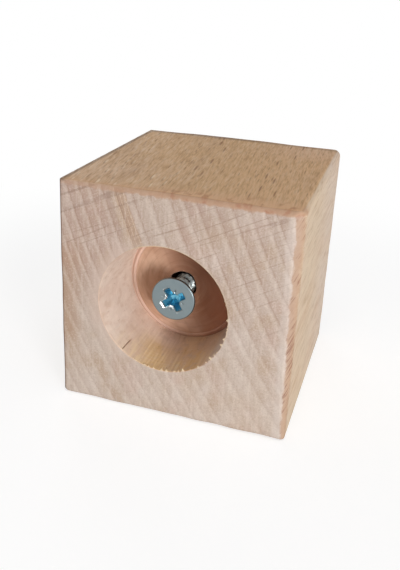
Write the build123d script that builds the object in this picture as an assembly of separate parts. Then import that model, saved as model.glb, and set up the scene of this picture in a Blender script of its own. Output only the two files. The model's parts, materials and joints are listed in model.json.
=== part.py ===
"""Furniture riser block: a beech cube with a counterbored screw hole, and the wood screw that lies in it.

The block lies on one of its sides. X is its width, Y runs along the grain and Z points up. The counterbore
opens towards -Y, and the furniture seats on the opposite face, at +Y. The origin is the middle of the face
that the block lies on.
"""

import os

from build123d import *

# Beech block, with its end grain at the front and back and its edges eased by hand
block_width = 50.0
block_depth = 50.0
block_height = 50.0
worn_edge_radius = 2.2
front_top_edge_radius = 1.4
crisp_edge_radius = 0.8

# Counterbore, drilled by hand a little off the middle of the front
counterbore_diameter = 28.0
counterbore_depth = 14.0
counterbore_shift_x = -2.3
counterbore_shift_z = -0.25
spur_groove_width = 0.7
spur_groove_depth = 0.5

# Wood screw, threaded almost to its countersunk head
screw_length = 50.0
thread_diameter = 5.0
core_diameter = 3.4
neck_length = 0.6
point_length = 7.0
head_diameter = 9.7
head_rim_height = 0.6
head_edge_radius = 0.25

# Cross recess in the head, with a hairline between each two wings
recess_depth = 2.7
recess_turn = 28.0
wing_span = 5.6
wing_tip_span = 2.6
wing_width = 1.25
core_cone_diameter = 2.9
core_cone_tip_diameter = 1.7
hairline_length = 2.5
hairline_width = 0.2
hairline_depth = 0.25

# How the screw lies in the block
hole_clearance = 1.5
lying_gap = 0.04
head_stand_out = 7.0

# Depth that cuts run past the faces they open through
cut_overrun = 1.0

hole_diameter = thread_diameter + hole_clearance
screw_drop = hole_clearance / 2 - lying_gap


def edges_between(solid, *face_pairs):
    """The edges that each named pair of the solid's flat sides has in common."""
    flat = solid.faces().filter_by(GeomType.PLANE)
    sides = {
        "left": flat.sort_by(Axis.X)[0],
        "right": flat.sort_by(Axis.X)[-1],
        "front": flat.sort_by(Axis.Y)[0],
        "back": flat.sort_by(Axis.Y)[-1],
        "bottom": flat.sort_by(Axis.Z)[0],
        "top": flat.sort_by(Axis.Z)[-1],
    }
    return [
        edge
        for first, second in face_pairs
        for edge in sides[first].edges() & sides[second].edges()
    ]


def eased_cube():
    """The bare block, worn most along its right side and the top of its back."""
    cube = Box(block_width, block_depth, block_height, align=(Align.CENTER, Align.CENTER, Align.MIN))
    worn = edges_between(cube, ("front", "right"), ("top", "right"), ("back", "right"), ("back", "top"))
    cube = fillet(worn, worn_edge_radius)
    cube = fillet(edges_between(cube, ("front", "top")), front_top_edge_radius)
    crisp = edges_between(
        cube,
        ("bottom", "right"),
        ("top", "left"),
        ("front", "left"),
        ("front", "bottom"),
        ("bottom", "left"),
        ("back", "left"),
        ("back", "bottom"),
    )
    return fillet(crisp, crisp_edge_radius)


def drilling():
    """The counterbore with the groove that the bit's rim spurs score, and the hole through its floor.

    Drawn as half a section, radius against depth, and turned about the drilling axis.
    """
    bore_radius = counterbore_diameter / 2
    hole_radius = hole_diameter / 2
    far_end = block_depth + cut_overrun
    outline = Polyline(
        (0, -cut_overrun),
        (bore_radius, -cut_overrun),
        (bore_radius, counterbore_depth + spur_groove_depth),
        (bore_radius - spur_groove_width, counterbore_depth),
        (hole_radius, counterbore_depth),
        (hole_radius, far_end),
        (0, far_end),
        close=True,
    )
    return revolve(Plane.XZ * make_face(outline), Axis.Z)


def cross_recess():
    """Two crossed wings that narrow with depth, a cone at their middle and four hairlines between them."""
    floor = Plane.XY.offset(recess_depth)
    wing = loft([Rectangle(wing_span, wing_width), floor * Rectangle(wing_tip_span, wing_width)])
    cone = Cone(
        core_cone_diameter / 2,
        core_cone_tip_diameter / 2,
        recess_depth,
        align=(Align.CENTER, Align.CENTER, Align.MIN),
    )
    hairline = Box(2 * hairline_length, hairline_width, 2 * hairline_depth)
    recess = wing + Rot(0, 0, 90) * wing + cone
    recess += Rot(0, 0, 45) * hairline
    recess += Rot(0, 0, -45) * hairline
    return Rot(0, 0, -recess_turn) * recess


def turned_screw():
    """The screw along +Z from its face at the origin: rim, cone, bare neck, threaded shank and point.

    Drawn as half a section, radius against length, and turned about the screw's axis. The shank has the
    diameter of the thread's crests.
    """
    head_radius = head_diameter / 2
    neck_radius = core_diameter / 2
    shank_radius = thread_diameter / 2
    neck_start = head_rim_height + head_radius - neck_radius
    neck_end = neck_start + neck_length
    outline = Polyline(
        (0, 0),
        (head_radius, 0),
        (head_radius, head_rim_height),
        (neck_radius, neck_start),
        (neck_radius, neck_end),
        (shank_radius, neck_end + shank_radius - neck_radius),
        (shank_radius, screw_length - point_length),
        (0, screw_length),
        close=True,
    )
    body = revolve(Plane.XZ * make_face(outline), Axis.Z)
    face_edge = body.edges().filter_by(GeomType.CIRCLE).sort_by(Axis.Z)[0]
    return fillet(face_edge, head_edge_radius) - cross_recess()


bore_x = counterbore_shift_x
bore_z = block_height / 2 + counterbore_shift_z
front_y = -block_depth / 2
head_y = front_y + counterbore_depth - head_stand_out
drill_plane = Plane(origin=(bore_x, front_y, bore_z), x_dir=(1, 0, 0), z_dir=(0, 1, 0))
screw_plane = Plane(origin=(bore_x, head_y, bore_z - screw_drop), x_dir=(1, 0, 0), z_dir=(0, 1, 0))

block = eased_cube() - drill_plane * drilling()
screw = screw_plane * turned_screw()

os.makedirs("parts", exist_ok=True)
export_step(block, "parts/block.step")
export_step(screw, "parts/screw.step")
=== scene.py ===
import json
import math
from types import SimpleNamespace

import bpy
import numpy as np
from mathutils import Matrix, Vector


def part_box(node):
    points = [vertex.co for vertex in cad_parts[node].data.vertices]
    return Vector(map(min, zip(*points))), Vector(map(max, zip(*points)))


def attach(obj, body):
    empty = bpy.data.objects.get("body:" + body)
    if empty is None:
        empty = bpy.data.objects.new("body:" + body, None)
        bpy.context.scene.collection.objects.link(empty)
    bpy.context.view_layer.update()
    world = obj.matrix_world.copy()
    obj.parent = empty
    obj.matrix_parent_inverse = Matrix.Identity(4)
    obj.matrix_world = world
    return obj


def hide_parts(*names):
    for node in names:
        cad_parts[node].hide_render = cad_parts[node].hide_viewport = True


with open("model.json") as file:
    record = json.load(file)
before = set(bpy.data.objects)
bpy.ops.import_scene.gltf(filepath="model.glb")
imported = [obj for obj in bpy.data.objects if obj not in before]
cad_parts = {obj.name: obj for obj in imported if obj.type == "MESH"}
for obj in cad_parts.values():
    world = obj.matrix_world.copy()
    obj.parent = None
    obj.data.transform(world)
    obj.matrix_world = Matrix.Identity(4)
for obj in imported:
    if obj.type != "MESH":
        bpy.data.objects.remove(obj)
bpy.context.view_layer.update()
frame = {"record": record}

# The block is one cube of beech with its end grain at the front and back. Its edges are eased by hand, most
# along the right side, and a flat-bottomed bit with rim spurs has drilled the counterbore and the screw hole
# along the grain, a little off the middle. The bit has torn some fibres out of the counterbore's rim.
block_low, block_high = (np.array(corner) * 1000 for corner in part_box("block"))
mounts = {mount["name"]: np.array(mount["pos_m"]) * 1000 for mount in frame["record"]["mounts"]}
bore_axis = mounts["seat_face"][[0, 2]]
front = block_low[1]
back = block_high[1]
bore_depth = 14.0
bore_floor = front + bore_depth
bore_mouth_radius = 14.0
bore_floor_radius = 13.2
bore_lean = np.array([0.031, -0.006])
hole_radius = 3.25
groove_width = 0.7
groove_depth = 0.5
burr_height = 0.42
fibre_lift = 0.02
crack_depth = 0.4
tuft_length = 0.3

# Corners in turn from the lower right, seen from the front: the sides that meet, and the long edge's radius.
# The edges round the front and the back have a radius where each corner starts and another where it ends.
# The top falls a little towards its back left corner.
corner_signs = np.array([[1, -1], [1, 1], [-1, 1], [-1, -1]])
long_edge_radii = np.array([0.8, 1.5, 0.5, 0.8])
front_edge_radii = np.array([1.4, 1.4, 2.3, 1.2, 0.6, 0.65, 0.65, 0.65])
back_edge_radii = np.array([2.0, 2.6, 2.2, 1.7, 1.6, 0.8, 0.8, 0.8])
upper_left_fall = 0.45

# Slivers that stand in from the rim: degrees round the bore from the right, and millimetres
slivers = [(2.9, 0.35), (-8, 0.2), (-15.2, 0.4), (-21.2, 0.42), (-30, 0.2), (-38.4, 0.6), (-53.4, 0.3)]
slivers += [(-68.4, 0.62), (-77, 0.25), (-84, 0.5), (-88.5, 0.55), (-96, 0.25), (-104.6, 0.3)]

# Cracks along the wall: degrees round the bore, width in degrees, where each starts and ends below the front
cracks = [(-128.4, 0.45, 0.2, 5.2), (-161.8, 0.35, 2.4, 4.2)]


def wavering(turn, seed, slowest, fastest):
    """A smooth closed wave round the bore: whole-number cosines of random size and phase, added up."""
    dice = np.random.default_rng(seed)
    counts = np.arange(slowest, fastest + 1)
    phases = dice.uniform(0, 2 * np.pi, counts.size)
    sizes = dice.normal(size=counts.size)
    waves = np.cos(np.asarray(turn)[..., None] * counts + phases) * sizes
    return waves.sum(axis=-1) / math.sqrt(counts.size / 2)


def ramp(value, low, high):
    """Rises smoothly from 0 at low to 1 at high."""
    part = np.clip((value - low) / (high - low), 0, 1)
    return part * part * (3 - 2 * part)


def eased_outline(columns_a_side=140, columns_a_corner=14):
    """The block's outline seen from the front: a square with a quarter circle at each corner.

    Gives the points, the way each moves when the outline shrinks, and the shares there of the eight places
    where a corner starts or ends.
    """
    middle = (block_low + block_high)[[0, 2]] / 2
    half = (block_high - block_low)[[0, 2]] / 2
    quarter = np.linspace(0, np.pi / 2, columns_a_corner)
    along = np.linspace(0, 1, columns_a_side + 2)[1:-1, None]
    starts = np.radians([-90, 0, 90, 180])
    places = []
    shares = []
    for corner in range(4):
        after = (corner + 1) % 4
        here_middle = middle + corner_signs[corner] * (half - long_edge_radii[corner])
        after_middle = middle + corner_signs[after] * (half - long_edge_radii[after])
        angles = starts[corner] + quarter
        arc = here_middle + long_edge_radii[corner] * np.stack([np.cos(angles), np.sin(angles)], axis=-1)
        outward = np.array([np.cos(angles[-1]), np.sin(angles[-1])])
        side_start = here_middle + long_edge_radii[corner] * outward
        side_end = after_middle + long_edge_radii[after] * outward
        start_share = np.eye(8)[2 * corner]
        end_share = np.eye(8)[2 * corner + 1]
        after_share = np.eye(8)[2 * after]
        places.append(arc)
        places.append(side_start + along * (side_end - side_start))
        shares.append(start_share + (quarter / quarter[-1])[:, None] * (end_share - start_share))
        shares.append(end_share + along * (after_share - end_share))
    share = np.concatenate(shares)
    return np.concatenate(places), share @ np.repeat(corner_signs, 2, axis=0), share


def drilled_block():
    """The block as one closed surface, a ring in both directions.

    Columns go round the bore axis, towards points on the outline. Rows follow a section: in along the screw
    hole, out over the counterbore's floor and spur groove, along its wall, over the torn rim, out over the
    front, round the front edge, along the sides, round the back edge and in over the back.
    """
    outline, inward, share = eased_outline()
    away = outline - bore_axis
    across = away / np.linalg.norm(away, axis=1, keepdims=True)
    turn = np.arctan2(across[:, 1], across[:, 0])
    every = np.ones_like(turn)

    def degrees_from(angle):
        """Degrees round the bore from the given angle, either way."""
        return np.abs((np.degrees(turn) - angle + 180) % 360 - 180)

    def turned(radius, depth, leaning=1.0):
        """Rows of points at the given distance from the bore axis and depth.

        The bit has leaned a little, so the counterbore moves sideways with depth and its floor tilts.
        """
        leaning = np.broadcast_to(leaning, depth.shape) * np.clip((depth - front) / bore_depth, 0, 1)
        spread = np.broadcast_to(radius, depth.shape)[..., None] * across
        flat = bore_axis + spread + bore_depth * leaning[..., None] * bore_lean
        tilted = depth - leaning * (spread @ bore_lean)
        return np.concatenate([flat, tilted[..., None]], axis=-1)

    # The screw hole from the back, in rows of depth, widening and share of the burr, which the bit has pushed
    # up round the upper side of the hole's mouth
    burr = burr_height * ramp(np.sin(turn + 0.5), -0.1, 0.5) * (1 + 0.08 * wavering(turn, 3, 3, 9))
    hole_rows = np.array([
        (back, 0.2, 0.0),
        (back - 0.06, 0.05, 0.0),
        (back - 0.2, 0.0, 0.0),
        (15.0, 0.0, 0.0),
        (5.0, 0.0, 0.0),
        (-5.0, 0.0, 0.0),
        (-9.9, 0.0, 0.4),
        (-10.4, 0.0, 1.0),
        (-10.9, 0.0, 1.0),
        (bore_floor, 0.04, 0.85),
    ])
    hole_depths, hole_widening, burr_share = hole_rows.T[..., None]
    hole = turned(hole_radius + hole_widening - burr_share * burr, hole_depths * every, 0.0)

    # The floor, with a faint ring scored just inside the groove of the bit's spurs
    groove_start = bore_floor_radius - groove_width
    plain_radii = np.linspace(hole_radius + 0.3, groove_start - 0.8, 16)
    score_radii = groove_start + np.array([-0.6, -0.45, -0.3, -0.1])
    score_depths = [0.03, 0.14, 0.02, -0.02]
    floor_radii = np.concatenate([plain_radii, score_radii])[:, None]
    floor_depths = bore_floor + np.concatenate([np.zeros(plain_radii.size), score_depths])[:, None]
    floor = turned(floor_radii * every, floor_depths * every, ramp(floor_radii, 3.5, 9.0) * every)

    # The groove, in rows of radius and depth below the floor
    groove_rows = np.array([
        (groove_start, 0.0),
        (groove_start + 0.1, 0.06),
        (bore_floor_radius - 0.08, groove_depth - 0.02),
        (bore_floor_radius, groove_depth - 0.03),
        (bore_floor_radius, groove_depth - 0.2),
    ])
    groove_radii, groove_depths = groove_rows.T[..., None]
    groove = turned(groove_radii * every, bore_floor + groove_depths * every)

    # The wall narrows towards the floor, with lifted fibres on its lower side and cracks near the rim
    wall_depths = np.linspace(bore_floor + 0.1, front + 0.5, 34)[:, None] * every
    below_front = wall_depths - front
    lift = np.clip(wavering(turn + 0.004 * wall_depths, 2, 60, 160), -1.6, 1.6)
    low_side = ramp(-np.sin(turn + 0.3), 0.1, 0.9)
    wall_ends = ramp(below_front, 0.4, 1.5) * ramp(-below_front, 0.1 - bore_depth, 3 - bore_depth)
    crack = np.zeros_like(wall_depths)
    for angle, width, start, end in cracks:
        run = ramp(below_front, start - 0.3, start + 0.4) * ramp(-below_front, -end, -end + 1.2)
        crack = np.maximum(crack, np.exp(-(degrees_from(angle) / width) ** 2) * run)
    narrowing = (bore_mouth_radius - bore_floor_radius) * below_front / bore_depth
    lifted = fibre_lift * (0.15 + low_side) * (1 + lift) * wall_ends
    wall = turned(bore_mouth_radius - narrowing - lifted + crack_depth * crack, wall_depths)

    # Torn fibres hang into the bore from the right round to the bottom of its rim, which has rows of
    # widening, depth and share of the fibres' length
    torn_side = ramp(np.cos(turn + math.radians(48)), 0.0, 0.7)
    tufts = np.clip(wavering(turn, 4, 70, 220) - 0.4, 0, 1.3) * ramp(wavering(turn, 9, 8, 36), -0.9, 0.6)
    torn = tuft_length * (0.06 + 0.94 * torn_side) * tufts
    for angle, hang in slivers:
        torn = np.maximum(torn, hang * np.clip(1.3 - degrees_from(angle) / 0.9, 0, 1))
    rim_rows = np.array([
        (-0.02, 0.32, 0.45),
        (0.01, 0.18, 0.85),
        (0.04, 0.08, 1.0),
        (0.1, 0.02, 0.85),
        (0.2, 0.0, 0.25),
    ])
    rim_widening, rim_depths, rim_share = rim_rows.T[..., None]
    rim_hang = rim_share * torn
    rim = turned(rim_widening + bore_mouth_radius - rim_hang, front + rim_depths * every)

    def round_edge(radii, angles, end, way, flatness, fall):
        """Rows round the edge between the sides and an end, which stands in from the outline by the fall.

        The section is a quarter circle, flatter as flatness grows from 1.
        """
        shrink = fall + radii * (1 - np.cos(angles) ** flatness)[:, None]
        depth = end + way * radii * (1 - np.sin(angles) ** flatness)[:, None]
        flat = outline - inward * shrink[..., None]
        return np.concatenate([flat, depth[..., None]], axis=-1)

    quarter = np.linspace(0, np.pi / 2, 11)
    front_radii = share @ front_edge_radii * (1 + 0.1 * wavering(turn, 6, 3, 24))
    front_edge = round_edge(front_radii, quarter[::-1], front, 1, flatness=1.2, fall=0.0)
    back_radii = share @ back_edge_radii * (1 + 0.08 * wavering(turn, 7, 3, 20))
    back_fall = upper_left_fall * share[:, 4:6].sum(axis=1) ** 3
    back_edge = round_edge(back_radii, quarter, back, -1, flatness=1.1, fall=back_fall)
    face_steps = (np.linspace(0, 1, 25)[1:-1] ** 1.25)[:, None, None]
    face = rim[-1] + face_steps * (front_edge[0] - rim[-1])
    side_steps = np.linspace(0, 1, 15)[1:-1, None, None]
    side = front_edge[-1] + side_steps * (back_edge[0] - front_edge[-1])
    back_face = back_edge[-1] + side_steps * (hole[0] - back_edge[-1])

    zones = [hole, floor, groove, wall, rim, face, front_edge, side, back_edge, back_face]
    points = np.concatenate(zones)[..., [0, 2, 1]]
    hole_end, floor_end, groove_end, wall_end, rim_end = np.cumsum([len(zone) for zone in zones[:5]])
    marks = {name: np.zeros(points.shape[:2]) for name in ("drilled", "hole", "torn", "crack", "ledge")}
    marks["drilled"][:wall_end] = 1
    marks["drilled"][wall_end:rim_end] = np.array([1.0, 1.0, 0.9, 0.5, 0.0])[:, None]
    burr_rows = 3
    # The hole mark carries painted shade on the screw hole's wall, all but the burr's rows
    marks["hole"][:hole_end - burr_rows] = 1
    raised = ramp(np.cos(turn - math.radians(50)), 0.1, 0.7) * np.array([0.0, 0.3, 0.6, 0.6, 0.2])[:, None]
    marks["torn"][wall_end:rim_end] = np.maximum(np.clip(rim_hang / 0.25 - 0.15, 0, 1), raised)
    marks["crack"][groove_end:wall_end] = crack
    ledge = np.array([0.2, 0.9, 0.5, 1.0, 0.75, 0.5, 1.0, 0.8, 0.8])[:, None]
    marks["ledge"][floor_end - score_radii.size:groove_end] = ledge
    return points, marks


def skin(name, points, closed_rows, marks, crease):
    """Covers a grid of points in millimetres, rows by columns, with four-sided faces.

    Each row closes on itself. The last row joins the first where closed_rows is true, and otherwise each end
    row closes to its middle with a fan of triangles. Marks are numbers kept at the points for the material.
    """
    rows, columns = points.shape[:2]
    here = np.arange(rows * columns).reshape(rows, columns)
    beside = np.roll(here, -1, axis=1)
    spots = points.reshape(-1, 3)
    if closed_rows:
        quads = np.stack([here, np.roll(here, -1, axis=0), np.roll(beside, -1, axis=0), beside], axis=-1)
        faces = quads.reshape(-1, 4).tolist()
    else:
        quads = np.stack([here[:-1], here[1:], beside[1:], beside[:-1]], axis=-1)
        first = np.full(columns, rows * columns)
        fan = np.stack([first, here[0], beside[0]], axis=-1)
        last_fan = np.stack([first + 1, beside[-1], here[-1]], axis=-1)
        spots = np.concatenate([spots, points[[0, -1]].mean(axis=1)])
        faces = quads.reshape(-1, 4).tolist() + fan.tolist() + last_fan.tolist()
    mesh = bpy.data.meshes.new(name)
    mesh.from_pydata((spots / 1000).tolist(), [], faces)
    for mark_name, amounts in marks.items():
        values = np.zeros(len(spots), dtype=np.float32)
        values[:rows * columns] = amounts.reshape(-1)
        mesh.attributes.new(mark_name, "FLOAT", "POINT").data.foreach_set("value", values)
    mesh.shade_smooth()
    mesh.set_sharp_from_angle(angle=math.radians(crease))
    piece = bpy.data.objects.new(name, mesh)
    bpy.context.scene.collection.objects.link(piece)
    return piece


block_points, block_marks = drilled_block()
riser_block = skin("riser_block", block_points, True, block_marks, 38)
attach(riser_block, "root")
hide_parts("block")


def tone(red, green, blue):
    """A colour as seen on a screen, 0 to 255, turned into the even scale that shaders use."""
    screen = np.array([red, green, blue]) / 255
    even = np.where(screen <= 0.04045, screen / 12.92, ((screen + 0.055) / 1.055) ** 2.4)
    return (*even.tolist(), 1.0)


def bare_material(name):
    """A new material with no nodes yet, and its node tree."""
    material = bpy.data.materials.new(name)
    material.use_nodes = True
    material.node_tree.nodes.clear()
    return material, material.node_tree


def lay(tree, kind, inputs=None, **settings):
    """Adds a node with its settings, and sets each input to a value or links it to a socket."""
    node = tree.nodes.new(kind)
    for setting, value in settings.items():
        setattr(node, setting, value)
    for place, value in (inputs or {}).items():
        if isinstance(value, bpy.types.NodeSocket):
            tree.links.new(value, node.inputs[place])
        else:
            node.inputs[place].default_value = value
    return node


def sum_up(tree, operation, *values):
    """One step of arithmetic on numbers or sockets."""
    return lay(tree, "ShaderNodeMath", dict(enumerate(values)), operation=operation).outputs[0]


def triple(tree, *parts):
    """A vector made of three numbers or sockets."""
    return lay(tree, "ShaderNodeCombineXYZ", dict(enumerate(parts))).outputs[0]


def split(tree, vector):
    """A vector's three parts."""
    return lay(tree, "ShaderNodeSeparateXYZ", {0: vector}).outputs


def step_vector(tree, operation, first, second):
    """One step of arithmetic on two vectors."""
    return lay(tree, "ShaderNodeVectorMath", {0: first, 1: second}, operation=operation).outputs[0]


def length(tree, vector):
    """A vector's length."""
    return lay(tree, "ShaderNodeVectorMath", {0: vector}, operation="LENGTH").outputs["Value"]


def both(tree, *shares):
    """The product of several shares."""
    product = shares[0]
    for share in shares[1:]:
        product = sum_up(tree, "MULTIPLY", product, share)
    return product


def rise(tree, value, low, high, start=0.0, end=1.0):
    """Goes smoothly from start to end while the value goes from low to high."""
    inputs = {"Value": value, "From Min": low, "From Max": high, "To Min": start, "To Max": end}
    return lay(tree, "ShaderNodeMapRange", inputs, interpolation_type="SMOOTHSTEP").outputs[0]


def paint(tree, colour, *coats):
    """Lays coats over a colour in turn, each a share and a colour."""
    for share, coat in coats:
        colour = lay(tree, "ShaderNodeMix", {0: share, 6: colour, 7: coat}, data_type="RGBA").outputs[2]
    return colour


def hairlines(tree, value, half_width):
    """Thin lines along which a noise passes through its middle."""
    return rise(tree, sum_up(tree, "ABSOLUTE", sum_up(tree, "SUBTRACT", value, 0.5)), half_width, 0.0)


def drawn_line(tree, value, points):
    """A line of straight runs through the given points, read at the value."""
    node = lay(tree, "ShaderNodeFloatCurve", {1: value})
    line = node.mapping.curves[0]
    line.points[0].location = points[0]
    line.points[1].location = points[-1]
    for point in points[1:-1]:
        line.points.new(*point)
    for point in line.points:
        point.handle_type = "VECTOR"
    node.mapping.update()
    return node.outputs[0]


def mark(tree, name):
    """A number kept at the mesh's points."""
    return lay(tree, "ShaderNodeAttribute", attribute_name=name).outputs["Fac"]


def millimetres(tree):
    """Where a point lies on the piece, in millimetres."""
    spot = lay(tree, "ShaderNodeTexCoord").outputs["Object"]
    return step_vector(tree, "MULTIPLY", spot, (1000, 1000, 1000))


# Noise whose spots have a chosen size in millimetres along each axis, shared by the wood and the metal
mottle_group = bpy.data.node_groups.new("mottle", "ShaderNodeTree")
mottle_group.interface.new_socket("Place", in_out="INPUT", socket_type="NodeSocketVector")
mottle_group.interface.new_socket("Spot Size", in_out="INPUT", socket_type="NodeSocketVector")
mottle_group.interface.new_socket("Detail", in_out="INPUT", socket_type="NodeSocketFloat")
mottle_group.interface.new_socket("Amount", in_out="OUTPUT", socket_type="NodeSocketFloat")
mottle_given = lay(mottle_group, "NodeGroupInput").outputs
mottle_scaled = step_vector(mottle_group, "DIVIDE", mottle_given["Place"], mottle_given["Spot Size"])
mottle_inputs = {"Vector": mottle_scaled, "Scale": 1.0, "Detail": mottle_given["Detail"]}
mottle_noise = lay(mottle_group, "ShaderNodeTexNoise", mottle_inputs)
lay(mottle_group, "NodeGroupOutput", {"Amount": mottle_noise.outputs[0]})


def mottle(tree, place, spot_size, detail=2.0):
    """Places the mottle group with its own values."""
    inputs = {"Place": place, "Spot Size": spot_size, "Detail": detail}
    return lay(tree, "ShaderNodeGroup", inputs, node_tree=mottle_group).outputs["Amount"]


def flecks(tree, place, spacing, reach, share):
    """Lens-shaped flecks: one to a cell of the given spacing in millimetres, in a share of the cells."""
    scaled = step_vector(tree, "DIVIDE", place, spacing)
    cells = lay(tree, "ShaderNodeTexVoronoi", {"Vector": scaled, "Scale": 1.0})
    lot = lay(tree, "ShaderNodeSeparateColor", {0: cells.outputs["Color"]}).outputs[0]
    lens = rise(tree, cells.outputs["Distance"], reach, 0.35 * reach)
    return both(tree, lens, rise(tree, lot, 1 - share, 1 - 0.4 * share))


# The tree's heart, and the distances from it, in millimetres, at which a year's growth ends
heart_x = 178.0
heart_z = 116.0
year_ends = [163.2, 166.1, 168.7, 171.9, 173.8, 176.6, 179.8, 182.8, 186.2, 188.5, 191.2, 195.1, 198.7, 202.2]
year_ends += [204.7, 207.2, 209.7, 212.3, 214.8, 216.8, 219.2, 222.6, 225.2, 227.7, 230.0, 232.5, 235.0]

# How dark the wood is through one year, from one end of a year to the next
year_darkness = [(0, 0.7), (0.06, 0.2), (0.2, 0.0), (0.34, 0.14), (0.5, 0.36), (0.7, 0.45), (0.86, 0.62)]
year_darkness += [(0.95, 1.0), (1, 0.7)]

# How far the fibres lean to the right towards the front: at the middle, and what each millimetre takes off
fibre_slope = 0.09
fibre_slope_change = -0.0015

# Distance from the heart, about the block's own, at which the way round it is measured in millimetres
round_radius = 200.0


def growth(tree):
    """Places each point in the tree that the block was sawn from, and gives what its wood is like there.

    Rings go round the tree's heart, rays run out from it, and fibres run along the block, leaning to the
    right towards the front, most on the left. The distance from the heart, the way round it and the way
    along the fibres make up the grain, in which streaks and flecks are drawn out.
    """
    place = millimetres(tree)
    facing = split(tree, lay(tree, "ShaderNodeTexCoord").outputs["Normal"])
    wide, deep, tall = split(tree, place)
    slope = sum_up(tree, "MULTIPLY_ADD", wide, fibre_slope_change, fibre_slope)
    lean = both(tree, sum_up(tree, "SUBTRACT", deep, float(front)), slope)
    from_heart_x = sum_up(tree, "SUBTRACT", sum_up(tree, "SUBTRACT", heart_x, wide), lean)
    from_heart_z = sum_up(tree, "SUBTRACT", heart_z, tall)
    wander = sum_up(tree, "MULTIPLY_ADD", mottle(tree, place, (16, 40, 16), 1.0), 0.8, -0.4)
    ragged = sum_up(tree, "MULTIPLY_ADD", mottle(tree, place, (1.8, 9, 1.8)), 0.3, -0.15)
    distance = length(tree, triple(tree, from_heart_x, 0.0, from_heart_z))
    distance = sum_up(tree, "ADD", sum_up(tree, "ADD", distance, wander), ragged)
    around = sum_up(tree, "MULTIPLY", sum_up(tree, "ARCTAN2", from_heart_z, from_heart_x), round_radius)
    grain = triple(tree, distance, around, deep)

    first, last = year_ends[0], year_ends[-1]
    count = len(year_ends) - 1
    grown = sum_up(tree, "DIVIDE", sum_up(tree, "SUBTRACT", distance, first), last - first)
    calendar = [((end - first) / (last - first), year / count) for year, end in enumerate(year_ends)]
    age = sum_up(tree, "MULTIPLY", drawn_line(tree, grown, calendar), float(count))
    return SimpleNamespace(
        place=place,
        facing=facing,
        wide=wide,
        deep=deep,
        tall=tall,
        distance=distance,
        grain=grain,
        late=drawn_line(tree, sum_up(tree, "FRACT", age), year_darkness),
        fibres=mottle(tree, grain, (0.5, 0.4, 5.5), 3.0),
        pores=mottle(tree, grain, (0.28, 0.28, 2.4), 3.0),
        clouds=mottle(tree, place, (13, 22, 13)),
        blush=mottle(tree, place, (6, 14, 6)),
        end_grain=rise(tree, sum_up(tree, "ABSOLUTE", facing[1]), 0.45, 0.9),
        upright=rise(tree, sum_up(tree, "ABSOLUTE", facing[2]), 0.99, 0.82),
    )


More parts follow.
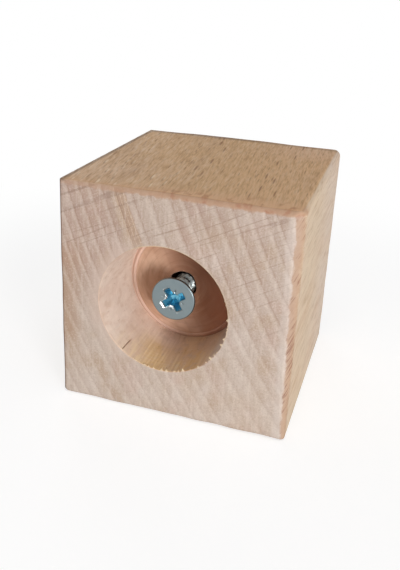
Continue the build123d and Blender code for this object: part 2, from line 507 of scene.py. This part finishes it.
def end_grain_colour(tree, wood):
    """Sanded end grain: rings, thin rays across them, and a pale growth with a bruised tan one beside it."""
    wide, tall, distance, late = wood.wide, wood.tall, wood.distance, wood.late
    upper = rise(tree, tall, 14.0, 38.0, 0.62, 1.0)
    ring_share = both(tree, upper, rise(tree, mottle(tree, wood.grain, (6, 12, 50)), 0.3, 0.62, 0.45, 1.0))

    # Rays stand a little aslant, and only in the upper half
    ray_zone = rise(tree, tall, 18.0, 36.0, 0.05, 1.0)
    inwards, around, along = split(tree, wood.grain)
    rays = triple(tree, inwards, sum_up(tree, "MULTIPLY_ADD", inwards, -0.08, around), along)
    ray_gaps = mottle(tree, rays, (11, 2.5, 30), 1.0)
    long_rays = hairlines(tree, mottle(tree, rays, (95, 2.2, 6), 0.0), 0.028)
    long_rays = both(tree, long_rays, rise(tree, ray_gaps, 0.4, 0.56))
    fine_rays = hairlines(tree, mottle(tree, rays, (60, 1.0, 4), 0.0), 0.06)
    fine_rays = both(tree, fine_rays, rise(tree, ray_gaps, 0.6, 0.42))

    # Years of another colour lie at their own distance from the heart
    pale_years = both(tree, rise(tree, distance, 190.8, 192.2), rise(tree, distance, 198.6, 200.0, 1.0, 0.0))
    pale_years = both(tree, pale_years, upper)
    pink_years = both(tree, rise(tree, distance, 203.0, 206.0), rise(tree, tall, 22.0, 36.0))
    bruise = both(tree, rise(tree, distance, 199.8, 200.4), rise(tree, distance, 202.6, 203.6, 1.0, 0.0))
    bruise = both(tree, bruise, rise(tree, tall, 36.0, 40.0))
    bruise_lines = hairlines(tree, sum_up(tree, "FRACT", sum_up(tree, "MULTIPLY", distance, 1.1)), 0.16)

    left_stain = both(tree, rise(tree, wide, -18.0, -24.5), rise(tree, tall, 42.0, 32.0))
    left_stain = both(tree, left_stain, rise(tree, tall, 8.0, 18.0))
    patches = mottle(tree, wood.place, (4.5, 20, 6), 3.0)
    saw_streaks = mottle(tree, wood.place, (0.6, 8, 7))
    return paint(
        tree,
        tone(190, 170, 157),
        (rise(tree, tall, 36.0, 8.0, 0.0, 0.85), tone(203, 188, 175)),
        (rise(tree, wide, 2.0, 20.0, 0.0, 0.4), tone(200, 186, 174)),
        (rise(tree, wood.clouds, 0.5, 0.7, 0.0, 0.5), tone(194, 172, 152)),
        (rise(tree, wood.blush, 0.5, 0.7, 0.0, 0.35), tone(196, 165, 152)),
        (rise(tree, patches, 0.52, 0.7, 0.0, 0.6), tone(213, 200, 190)),
        (rise(tree, patches, 0.48, 0.32, 0.0, 0.6), tone(186, 162, 140)),
        (rise(tree, tall, 36.0, 47.0, 0.0, 0.25), tone(172, 148, 134)),
        (both(tree, left_stain, 0.75), tone(178, 146, 120)),
        (both(tree, pink_years, 0.3), tone(192, 158, 144)),
        (both(tree, pale_years, 0.4), tone(202, 187, 174)),
        (both(tree, bruise, 0.55), tone(184, 152, 122)),
        (both(tree, bruise, bruise_lines, 0.65), tone(220, 198, 172)),
        (both(tree, late, ring_share, 0.5), tone(166, 134, 118)),
        (both(tree, rise(tree, late, 0.3, 0.0), upper, 0.35), tone(214, 199, 187)),
        (both(tree, rise(tree, late, 0.8, 1.0), ring_share, ray_zone, 0.35), tone(146, 114, 96)),
        (both(tree, fine_rays, ray_zone, 0.16), tone(150, 120, 102)),
        (both(tree, long_rays, ray_zone, 0.5), tone(140, 112, 96)),
        (rise(tree, wood.pores, 0.5, 0.72, 0.0, 0.4), tone(172, 148, 128)),
        (rise(tree, wood.pores, 0.48, 0.3, 0.0, 0.35), tone(220, 205, 190)),
        (rise(tree, saw_streaks, 0.5, 0.7, 0.0, 0.16), tone(176, 150, 132)),
        (rise(tree, saw_streaks, 0.48, 0.34, 0.0, 0.2), tone(222, 207, 195)),
    )


def long_grain_colour(tree, wood, dark_flecks):
    """Sides along the fibres: fine streaks and dark ray flecks, with pale ones at the top's front left."""
    wide, deep, upright = wood.wide, wood.deep, wood.upright
    faint = rise(tree, upright, 0.2, 0.8, 1.0, 0.07)
    small_flecks = flecks(tree, wood.grain, (13, 0.26, 6), 0.3, 0.8)
    pale_flecks = flecks(tree, wood.grain, (11, 0.32, 6), 0.36, 0.9)
    beside = step_vector(tree, "ADD", wood.grain, (0.0, 0.05, 0.9))
    pale_shadows = flecks(tree, beside, (11, 0.32, 6), 0.36, 0.9)
    near_corner = both(tree, rise(tree, wide, 8.0, -18.0), rise(tree, deep, 4.0, -18.0))
    pale_share = sum_up(tree, "MULTIPLY_ADD", near_corner, 0.9, 0.12)
    back_right = both(tree, rise(tree, deep, 5.0, 20.0), rise(tree, wide, 4.0, 18.0))
    broad_streaks = mottle(tree, wood.grain, (3.0, 2.0, 30))
    return paint(
        tree,
        tone(215, 174, 129),
        (rise(tree, wide, 0.0, 20.0, 0.0, 0.6), tone(226, 184, 142)),
        (both(tree, back_right, 0.45), tone(226, 188, 162)),
        (upright, tone(213, 193, 169)),
        (both(tree, upright, rise(tree, deep, -12.0, 16.0, 0.0, 0.8)), tone(217, 199, 184)),
        (rise(tree, wood.clouds, 0.45, 0.7, 0.0, 0.25), tone(206, 172, 140)),
        (both(tree, near_corner, 0.4), tone(222, 184, 152)),
        (rise(tree, broad_streaks, 0.5, 0.72, 0.0, 0.3), tone(186, 148, 114)),
        (rise(tree, wood.fibres, 0.5, 0.72, 0.0, 0.42), tone(164, 126, 90)),
        (rise(tree, wood.fibres, 0.5, 0.28, 0.0, 0.34), tone(226, 196, 162)),
        (both(tree, rise(tree, wood.pores, 0.5, 0.7), faint, 0.4), tone(168, 130, 92)),
        (both(tree, rise(tree, wood.pores, 0.48, 0.3), faint, 0.36), tone(236, 204, 168)),
        (both(tree, small_flecks, faint, 0.45), tone(140, 102, 68)),
        (both(tree, dark_flecks, faint, rise(tree, wide, -22.0, 2.0, 0.4, 0.72)), tone(130, 82, 46)),
        (both(tree, pale_shadows, pale_share, faint, 0.8), tone(142, 100, 66)),
        (both(tree, pale_flecks, pale_share, faint), tone(242, 216, 182)),
        (both(tree, wood.late, 0.1), tone(172, 134, 104)),
    )


def drilled_coats(tree, wood, swirls, streaks, offset_x, offset_z, bore_reach):
    """Freshly cut wood in the bore, with faint rings on its floor and lifted fibres low on its wall.

    The front is paler too, beside the left of the bore's rim. The floor has painted light on its left and low
    side and painted shade at its top and right, the groove's ring is partly a painted highlight, the foot of
    the lower wall has painted light, and the screw hole has painted shade.
    """
    wide, deep, tall = wood.wide, wood.deep, wood.tall
    floor_left_painted_light = both(tree, rise(tree, offset_x, 1.0, -9.0), rise(tree, offset_z, -3.0, 5.0))
    floor_top_painted_shade = both(tree, rise(tree, offset_z, -1.0, 5.0), rise(tree, offset_x, -5.0, 2.0, 0.1, 0.6))
    # The groove's ring is paler: partly the freshly cut wood, partly a painted highlight, stronger on the
    # left
    ledge = both(tree, mark(tree, "ledge"), rise(tree, offset_x, 3.0, -6.0, 0.25, 0.9))
    floor_colour = paint(
        tree,
        tone(192, 148, 124),
        # Painted light: the floor is paler on its left and along its low side
        (both(tree, floor_left_painted_light, 0.9), tone(216, 180, 154)),
        (rise(tree, offset_x, -5.0, -10.5, 0.0, 0.8), tone(222, 188, 164)),
        (rise(tree, offset_z, -5.0, -11.0, 0.0, 0.9), tone(232, 196, 174)),
        (rise(tree, wood.blush, 0.4, 0.62, 0.0, 0.5), tone(190, 146, 118)),
        (rise(tree, swirls, 0.48, 0.68, 0.0, 0.22), tone(146, 98, 72)),
        (rise(tree, swirls, 0.46, 0.3, 0.0, 0.26), tone(226, 192, 166)),
        (both(tree, wood.late, 0.15), tone(150, 104, 80)),
        # Painted shade: the floor is darker and redder on its right and at its top, in the rim's shadow
        (rise(tree, wide, -3.0, 8.0, 0.0, 0.7), tone(180, 112, 82)),
        (floor_top_painted_shade, tone(148, 104, 82)),
        (ledge, tone(228, 198, 184)),
    )

    low_wall = rise(tree, tall, 17.5, 10.5)
    # Painted light at the foot of the lower wall near the floor, most on the left
    wall_foot_painted_light = both(tree, rise(tree, tall, 19.0, 13.0), rise(tree, deep, -18.0, -13.0))
    near_rim = rise(tree, deep, -16.0, -22.0)
    turn_marks = mottle(tree, wood.place, (7, 0.22, 7))
    wall_mottle = mottle(tree, wood.place, (1.6, 2.6, 1.6), 3.0)
    wall_pale = both(tree, rise(tree, wall_mottle, 0.46, 0.32), rise(tree, low_wall, 0.0, 1.0, 0.5, 0.12))
    dark_streak_share = sum_up(tree, "MULTIPLY_ADD", low_wall, 0.16, 0.03)
    pale_streak_share = sum_up(tree, "MULTIPLY_ADD", low_wall, 0.22, 0.04)
    pits = rise(tree, mottle(tree, wood.place, (0.5, 0.9, 0.5)), 0.68, 0.74)
    wall_colour = paint(
        tree,
        tone(221, 202, 188),
        (both(tree, low_wall, rise(tree, offset_x, -10.0, -3.0, 0.5, 1.0)), tone(216, 180, 132)),
        (both(tree, low_wall, rise(tree, offset_x, 0.0, 9.0, 0.0, 0.8)), tone(222, 176, 122)),
        (both(tree, wall_foot_painted_light, rise(tree, offset_x, 4.0, -2.0, 0.3, 0.95)), tone(240, 216, 198)),
        (rise(tree, wood.blush, 0.46, 0.62, 0.0, 0.4), tone(210, 182, 166)),
        (rise(tree, wall_mottle, 0.5, 0.66, 0.0, 0.5), tone(202, 174, 154)),
        (wall_pale, tone(232, 214, 200)),
        (rise(tree, turn_marks, 0.52, 0.66, 0.0, 0.1), tone(190, 160, 142)),
        (rise(tree, turn_marks, 0.46, 0.34, 0.0, 0.14), tone(232, 214, 200)),
        (both(tree, rise(tree, streaks, 0.42, 0.34), dark_streak_share), tone(170, 132, 102)),
        (both(tree, rise(tree, streaks, 0.58, 0.68), pale_streak_share), tone(232, 208, 174)),
        (both(tree, rise(tree, streaks, 0.5, 0.62), low_wall, near_rim, 0.4), tone(236, 212, 168)),
        (both(tree, pits, 0.35), tone(150, 108, 80)),
        # Painted shade inside the screw hole
        (mark(tree, "hole"), tone(118, 80, 56)),
    )

    halo = both(tree, rise(tree, bore_reach, 18.0, 14.2), rise(tree, offset_x, -4.0, -10.0), wood.end_grain)
    bore_colour = paint(tree, wall_colour, (wood.end_grain, floor_colour))
    return [(both(tree, halo, 0.55), tone(209, 187, 173)), (mark(tree, "drilled"), bore_colour)]


def worn_coats(tree, wood, side_colour):
    """Worn edges, with painted light and shade: brown nicks down the right of the front beside a painted
    highlight strip, orange along the top of the front, painted darker where it turns away from the top,
    painted shade in a dark line down its left and in thin ones along the left and back of the top, darker
    along the bottom edge, and torn wood."""
    wide, deep, tall, facing, place = wood.wide, wood.deep, wood.tall, wood.facing, wood.place
    wobble = sum_up(tree, "MULTIPLY_ADD", mottle(tree, place, (1.2, 1.2, 1.6)), 2.0, -1.0)

    # Right of the front: brown nicks, and beside them a painted highlight strip where the edge starts to
    # round
    to_right = sum_up(tree, "ADD", sum_up(tree, "MULTIPLY_ADD", tall, 0.016, wide), both(tree, wobble, 0.5))
    at_front = rise(tree, sum_up(tree, "ADD", deep, wobble), -22.4, -24.0)
    right_edge = both(tree, rise(tree, to_right, 23.9, 24.4), at_front, rise(tree, tall, 49.4, 48.2))
    painted_highlight_strip = both(tree, rise(tree, to_right, 22.2, 23.0), wood.end_grain)
    painted_highlight_strip = both(tree, painted_highlight_strip, rise(tree, wood.clouds, 0.35, 0.55, 0.5, 1.0))
    stroke = sum_up(tree, "SUBTRACT", tall, sum_up(tree, "ADD", wide, deep))
    strokes = mottle(tree, triple(tree, stroke, wide, tall), (0.6, 3, 4), 3.0)
    scuffed = both(tree, rise(tree, tall, 30.0, 22.0), rise(tree, tall, 4.0, 10.0))
    nick_share = rise(tree, mottle(tree, place, (3, 3, 3.5)), 0.42, 0.56, 0.0, 0.9)
    nicks = both(tree, rise(tree, strokes, 0.5, 0.6), sum_up(tree, "MAXIMUM", scuffed, nick_share))
    nicked_colour = paint(tree, tone(180, 148, 124), (both(tree, nicks, 0.9), tone(134, 86, 66)))

    # Top of the front, in a band that widens to the right, with painted shade where the band turns away from
    # the top
    band = rise(tree, wide, -22.0, 14.0, 2.0, 6.0)
    from_front = sum_up(tree, "ADD", sum_up(tree, "SUBTRACT", deep, float(front)), wobble)
    over_top = sum_up(tree, "MULTIPLY_ADD", wobble, 0.6, tall)
    in_band = rise(tree, sum_up(tree, "DIVIDE", from_front, band), 1.3, 0.1)
    top_edge = both(tree, in_band, rise(tree, over_top, 48.7, 49.3))
    top_edge = both(tree, top_edge, rise(tree, wide, -22.0, 0.0, 0.45, 0.85))
    blotches = rise(tree, mottle(tree, place, (1.6, 3, 1.6)), 0.5, 0.66, 0.0, 0.5)
    blotches = both(tree, blotches, rise(tree, wide, -14.0, 2.0))
    on_top = rise(tree, facing[2], 0.93, 1.0)
    # Painted shade: the band is darker where it faces away from the top
    band_colour_painted_shade = paint(tree, tone(181, 142, 114), (on_top, tone(224, 180, 142)))
    orange_colour = paint(tree, side_colour, (0.9, band_colour_painted_shade), (blotches, tone(164, 98, 66)))

    # Painted shade along the left of the front and along the left and back of the top, and darker along the
    # bottom edge
    left_painted_shade = both(tree, rise(tree, wide, -24.3, -24.7), rise(tree, deep, -22.0, -24.0))
    back_edge = both(tree, rise(tree, deep, 20.9, 22.6), rise(tree, facing[2], 0.8, 0.96))
    back_edge = both(tree, back_edge, rise(tree, wide, -5.0, 20.0, 1.0, 0.6))
    along_left = sum_up(tree, "MULTIPLY_ADD", deep, -0.013, wide)
    top_left_painted_shade = both(tree, rise(tree, along_left, -23.1, -23.8), rise(tree, facing[2], 0.3, 0.7))
    painted_shade_line = sum_up(tree, "MAXIMUM", back_edge, top_left_painted_shade)
    low_edge = rise(tree, tall, 0.6, 0.2, 0.0, 0.5)
    return [
        (both(tree, painted_highlight_strip, 0.35), tone(214, 202, 194)),
        (both(tree, right_edge, 0.8), nicked_colour),
        (top_edge, orange_colour),
        # Painted shade down the left of the front, and along the left and back of the top
        (both(tree, left_painted_shade, 0.8), tone(140, 106, 86)),
        (both(tree, painted_shade_line, 0.65), tone(108, 86, 66)),
        (low_edge, tone(148, 122, 104)),
        (mark(tree, "torn"), tone(236, 214, 176)),
        (rise(tree, mark(tree, "crack"), 0.45, 0.95, 0.0, 0.85), tone(98, 62, 40)),
    ]


def beech_finish():
    """Beech worked out in the round, so that the end grain, the flecked top and the sides belong together.

    Colours are laid over each other by shares: sides along the fibres, sanded end grain, the freshly drilled
    bore with its painted light and shade, and then the worn edges with their painted highlight and shade,
    torn fibres and cracks.
    """
    material, tree = bare_material("beech")
    wood = growth(tree)
    dark_flecks = flecks(tree, wood.grain, (16, 0.4, 10), 0.3, 0.52)
    offset_x = sum_up(tree, "SUBTRACT", wood.wide, float(bore_axis[0]))
    offset_z = sum_up(tree, "SUBTRACT", wood.tall, float(bore_axis[1]))
    bore_reach = length(tree, triple(tree, offset_x, offset_z, 0.0))
    swirls = mottle(tree, triple(tree, bore_reach, wood.wide, wood.tall), (0.7, 5, 5))
    streaks = mottle(tree, wood.place, (0.75, 9, 0.75))
    side_colour = long_grain_colour(tree, wood, dark_flecks)
    colour = paint(
        tree,
        side_colour,
        (wood.end_grain, end_grain_colour(tree, wood)),
        *drilled_coats(tree, wood, swirls, streaks, offset_x, offset_z, bore_reach),
        *worn_coats(tree, wood, side_colour),
    )

    drilled_height = both(tree, sum_up(tree, "ADD", swirls, streaks), mark(tree, "drilled"), 0.6)
    height = sum_up(tree, "MULTIPLY", wood.fibres, 0.6)
    height = sum_up(tree, "SUBTRACT", height, both(tree, dark_flecks, 0.15))
    height = sum_up(tree, "SUBTRACT", height, both(tree, wood.pores, 0.5))
    height = sum_up(tree, "ADD", height, drilled_height)
    relief = lay(tree, "ShaderNodeBump", {"Strength": 0.35, "Distance": 0.00014, "Height": height}).outputs[0]
    rough = rise(tree, wood.fibres, 0.3, 0.7, 0.56, 0.74)
    inputs = {"Base Color": colour, "Roughness": rough, "Specular IOR Level": 0.12, "Normal": relief}
    surface = lay(tree, "ShaderNodeBsdfPrincipled", inputs)
    lay(tree, "ShaderNodeOutputMaterial", {"Surface": surface.outputs[0]})
    return material


riser_block.data.materials.append(beech_finish())

# The screw is a turned, zinc-plated countersunk wood screw with a rolled right-hand thread up to its head.
# The cross recess is punched into the head. It lies loose in the clearance hole, with its head standing
# clear of the counterbore's floor and its point out of the back.
screw_low, screw_high = (np.array(corner) * 1000 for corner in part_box("screw"))
screw_axis = (screw_low + screw_high)[[0, 2]] / 2
head_face = screw_low[1]
screw_length = screw_high[1] - screw_low[1]
head_radius = 4.85
head_rim = 0.6
head_edge_radius = 0.25
neck_radius = 1.7
neck_length = 0.6
crest_radius = 2.5
core_radius = 1.55
pitch = 2.3
ridge_half_width = 0.21
point_length = 7.0
recess_depth = 2.7
recess_turn = 33.0
recess_drop = 0.2
wing_half_length = 2.85
wing_half_width = 0.8
recess_cone_radius = 1.5
lip_depth = 0.25
hairline_depth = 0.2


def recess_reach(turn, depth):
    """Distance from the axis to the recess's wall: two crossed tapering wings and a cone, whichever is
    wider."""
    part = np.asarray(depth) / recess_depth
    half_length = wing_half_length - 1.4 * part
    half_width = wing_half_width - 0.2 * np.minimum(part / 0.3, 1) - 0.05 * part
    cone = recess_cone_radius - 0.6 * part
    cosine = np.abs(np.cos(turn)) + 1e-9
    sine = np.abs(np.sin(turn)) + 1e-9
    wing = np.minimum(half_length / cosine, half_width / sine)
    cross_wing = np.minimum(half_length / sine, half_width / cosine)
    return np.maximum(np.maximum(wing, cross_wing), cone)


def threaded_screw(columns=240):
    """The screw as one closed surface of columns round its axis and rows along its section.

    The columns are spaced evenly along the recess's outline. The rows start at the recess's floor, climb its
    walls, cross the head's face, go round its rim and down its cone, and follow the shank to the point. The
    thread is a ridge whose place along the shank moves on by one pitch for each turn.
    """
    fine = np.linspace(0, 2 * np.pi, 7201)
    fine_reach = recess_reach(fine, 0.0)
    step = np.hypot(np.diff(fine_reach), fine_reach[:-1] * np.diff(fine))
    run = np.concatenate([[0], np.cumsum(step + 0.6 * np.diff(fine))])
    turn = np.interp(np.linspace(0, run[-1], columns, endpoint=False), run, fine)
    every = np.ones(columns)

    # Recess and face of the head
    depths = np.linspace(recess_depth, lip_depth, 14)[:, None]
    walls = recess_reach(turn, depths)
    floor_share = np.array([0.3, 0.65, 0.9])[:, None]
    floor = floor_share * walls[0]
    floor_depths = recess_depth + 0.3 * (1 - floor_share) * every
    lip = recess_reach(turn, lip_depth) + np.array([0.04, 0.13, 0.22, 0.3])[:, None]
    lip_depths = lip_depth * np.array([0.84, 0.46, 0.15, 0.0])[:, None] * every
    flat_radius = head_radius - head_edge_radius
    face_share = np.linspace(0, 1, 14)[1:, None]
    face = lip[-1] + face_share * (flat_radius - lip[-1])
    hairline_gap = face * np.abs(np.sin(turn % (np.pi / 2) - np.pi / 4))
    hairline = ramp(-hairline_gap, -0.16, -0.06) * ramp(-face, -2.7, -2.4)
    face_depths = hairline_depth * hairline

    # Rim and cone of the head
    bend = np.linspace(0, np.pi / 2, 7)[1:, None]
    edge = (flat_radius + head_edge_radius * np.sin(bend)) * every
    edge_depths = head_edge_radius * (1 - np.cos(bend)) * every
    neck_start = head_rim + head_radius - neck_radius
    rim_depths = [head_rim - 0.05, head_rim + 0.03]
    cone_depths = np.concatenate([rim_depths, np.linspace(head_rim + 0.15, neck_start, 8)])
    cone = np.interp(cone_depths, [0, head_rim, neck_start], [head_radius, head_radius, neck_radius])

    # Bare neck, threaded shank and point
    shank_depths = np.append(np.arange(neck_start + 0.15, screw_length - 0.1, 0.17), screw_length - 0.02)
    taper = np.clip((screw_length - shank_depths) / point_length, 0, 1)[:, None]
    on_neck = shank_depths[:, None] < neck_start + neck_length
    core = np.where(on_neck, neck_radius, core_radius * taper ** 0.85)
    crest = core + (crest_radius - core_radius) * taper
    phase = (shank_depths[:, None] / pitch - turn / (2 * np.pi)) % 1
    ridge = np.clip(1.12 - np.abs(phase - 0.5) / ridge_half_width, 0, 1)
    ridge = ridge * ramp(shank_depths, neck_start - 0.2, neck_start + 0.7)[:, None]
    shank = core + (crest - core) * ridge

    radii = np.concatenate([floor, walls, lip, face, edge, cone[:, None] * every, shank])
    all_depths = [floor_depths, depths * every, lip_depths, face_depths, edge_depths]
    all_depths += [cone_depths[:, None] * every, shank_depths[:, None] * every]
    along = np.concatenate(all_depths)
    place = turn + math.radians(recess_turn)
    recess_rows = len(floor) + len(walls)
    face_row = recess_rows + len(lip)
    sunk = np.zeros_like(radii)
    sunk[:face_row] = 1
    sunk[face_row:face_row + len(face)] = 1 - face_share
    points = np.stack([
        screw_axis[0] + radii * np.cos(place),
        head_face + along,
        screw_axis[1] + radii * np.sin(place) - recess_drop * sunk,
    ], axis=-1)
    marks = {name: np.zeros_like(radii) for name in ("recess", "lip", "ridge", "root")}
    marks["recess"][:recess_rows] = ramp(along[:recess_rows], 0.15, 0.8)
    # The lip's mark is a painted glint, on its lower left side only
    painted_glint_side = -0.85 * np.cos(place) - 0.5 * np.sin(place)
    marks["lip"][recess_rows - 1:face_row] = ramp(painted_glint_side, -0.1, 0.6)
    # The ridge's mark carries a painted highlight and the root's mark painted shade
    marks["ridge"][-len(shank):] = ridge
    marks["root"][-len(shank):] = ramp(-ridge, -0.4, 0.0)
    return points, marks


screw_points, screw_marks = threaded_screw()
wood_screw = skin("wood_screw", screw_points, False, screw_marks, 40)
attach(wood_screw, "root")
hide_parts("screw")


def zinc_finish():
    """Bright zinc plate: a fine satin metal, blue where the plating's tint gathers in the recess, with a
    painted glint on the lower left of the recess's lip, which is also less rough, a painted highlight on the
    thread's ridge and painted shade in the thread's root."""
    material, tree = bare_material("zinc_plated_steel")
    place = millimetres(tree)
    patches = mottle(tree, place, (1.6, 1.6, 1.6), 3.0)
    frost = mottle(tree, place, (0.12, 0.12, 0.12))
    lip = mark(tree, "lip")
    colour = paint(
        tree,
        tone(126, 140, 144),
        (patches, tone(143, 154, 157)),
        # Painted shade in the thread's root and a painted highlight on its ridge
        (both(tree, mark(tree, "root"), 0.95), tone(62, 64, 66)),
        (both(tree, mark(tree, "ridge"), 0.9), tone(146, 147, 143)),
        (mark(tree, "recess"), tone(124, 192, 214)),
        # Painted glint on the lower left of the recess's lip
        (both(tree, lip, 0.8), tone(238, 242, 242)),
    )
    rough = both(tree, rise(tree, patches, 0.3, 0.7, 0.3, 0.44), rise(tree, lip, 0.0, 1.0, 1.0, 0.6))
    relief = lay(tree, "ShaderNodeBump", {"Strength": 0.15, "Distance": 0.00003, "Height": frost}).outputs[0]
    inputs = {"Base Color": colour, "Metallic": 1.0, "Roughness": rough, "Normal": relief}
    surface = lay(tree, "ShaderNodeBsdfPrincipled", inputs)
    lay(tree, "ShaderNodeOutputMaterial", {"Surface": surface.outputs[0]})
    return material


wood_screw.data.materials.append(zinc_finish())

# The floor is a plain white sheet of card under the block, which keeps the block's shadow. The camera and the
# metal see the card brighten to white away from the block.
floor_half = 3.0
floor_mesh = bpy.data.meshes.new("white_floor")
floor_corners = np.array([[-1, -1, 0], [1, -1, 0], [1, 1, 0], [-1, 1, 0]]) * floor_half
floor_mesh.from_pydata(floor_corners.tolist(), [], [(0, 1, 2, 3)])
white_floor = bpy.data.objects.new("white_floor", floor_mesh)
bpy.context.scene.collection.objects.link(white_floor)


def seen_directly(tree):
    """One for what the camera sees, or sees in the metal, and zero for light that bounces off."""
    path = lay(tree, "ShaderNodeLightPath").outputs
    return sum_up(tree, "MAXIMUM", path["Is Camera Ray"], path["Is Glossy Ray"])


def grey(level):
    """A colour with the same amount of red, green and blue."""
    return (level, level, level, 1.0)


def card_finish():
    """White card: plain paper to the light, and white with a soft shadow near the block to the camera."""
    material, tree = bare_material("white_card")
    far = rise(tree, length(tree, millimetres(tree)), 60.0, 150.0)
    paper = lay(tree, "ShaderNodeBsdfDiffuse", {"Color": grey(0.85)}).outputs[0]
    shaded = lay(tree, "ShaderNodeBsdfDiffuse", {"Color": grey(0.45)}).outputs[0]
    glow = lay(tree, "ShaderNodeEmission", {"Color": grey(1.0), "Strength": 0.68}).outputs[0]
    white = lay(tree, "ShaderNodeEmission", {"Color": grey(1.0), "Strength": 1.0}).outputs[0]
    near_view = lay(tree, "ShaderNodeAddShader", {0: shaded, 1: glow}).outputs[0]
    view = lay(tree, "ShaderNodeMixShader", {0: far, 1: near_view, 2: white}).outputs[0]
    card = lay(tree, "ShaderNodeMixShader", {0: seen_directly(tree), 1: paper, 2: view}).outputs[0]
    lay(tree, "ShaderNodeOutputMaterial", {"Surface": card})
    return material


floor_mesh.materials.append(card_finish())

# Soft studio light: an even white room, a broad lamp to the right at the block's own height, a larger and
# weaker one overhead, and a weak one behind that keeps the far sides from going grey.
room = bpy.data.worlds.new("studio")
bpy.context.scene.world = room
room.use_nodes = True
room_tree = room.node_tree
room_tree.nodes.clear()
room_strength = rise(room_tree, seen_directly(room_tree), 0.0, 1.0, 0.28, 1.0)
room_light = lay(room_tree, "ShaderNodeBackground", {"Color": grey(1.0), "Strength": room_strength})
lay(room_tree, "ShaderNodeOutputWorld", {"Surface": room_light.outputs[0]})
block_middle = Vector((0.0, 0.0, 0.025))


def hang_lamp(name, right, up, distance, size, energy):
    """A round soft lamp aimed at the block from so many degrees right of the front and above level."""
    right, up = math.radians(right), math.radians(up)
    way = Vector((math.sin(right) * math.cos(up), -math.cos(right) * math.cos(up), math.sin(up)))
    lamp = bpy.data.lights.new(name, "AREA")
    lamp.shape = "DISK"
    lamp.size = size
    lamp.energy = energy
    lamp_object = bpy.data.objects.new(name, lamp)
    lamp_turn = way.to_track_quat("Z", "Y").to_matrix().to_4x4()
    lamp_object.matrix_world = Matrix.Translation(block_middle + way * distance) @ lamp_turn
    bpy.context.scene.collection.objects.link(lamp_object)


hang_lamp("side_lamp", right=42, up=5, distance=0.55, size=0.18, energy=2.25)
hang_lamp("overhead_lamp", right=20, up=70, distance=0.8, size=0.5, energy=1.45)
hang_lamp("back_lamp", right=215, up=8, distance=0.7, size=0.4, energy=1.5)

# The camera stands close, to the right and above, as for the photograph of the loose block.
camera = bpy.data.cameras.new("camera")
camera.sensor_width = 36.0
camera.lens = 44.518
camera.shift_x = 0.0175
camera.shift_y = -0.12
camera.clip_start = 0.005
turn_right = math.radians(17.778)
tilt_down = math.radians(20.437)
roll = math.radians(2.361)
forward = Vector((
    -math.sin(turn_right) * math.cos(tilt_down),
    math.cos(turn_right) * math.cos(tilt_down),
    -math.sin(tilt_down),
))
level_right = Vector((math.cos(turn_right), math.sin(turn_right), 0.0))
level_up = level_right.cross(forward)
rolled_right = math.cos(roll) * level_right + math.sin(roll) * level_up
rolled_up = math.cos(roll) * level_up - math.sin(roll) * level_right
stand = Vector((0.04148, -0.14493, 0.09304))
camera_object = bpy.data.objects.new("camera", camera)
camera_turn = Matrix((rolled_right, rolled_up, -forward)).transposed().to_4x4()
camera_object.matrix_world = Matrix.Translation(stand) @ camera_turn
bpy.context.scene.collection.objects.link(camera_object)
bpy.context.scene.camera = camera_object
bpy.context.scene.view_settings.view_transform = "Standard"
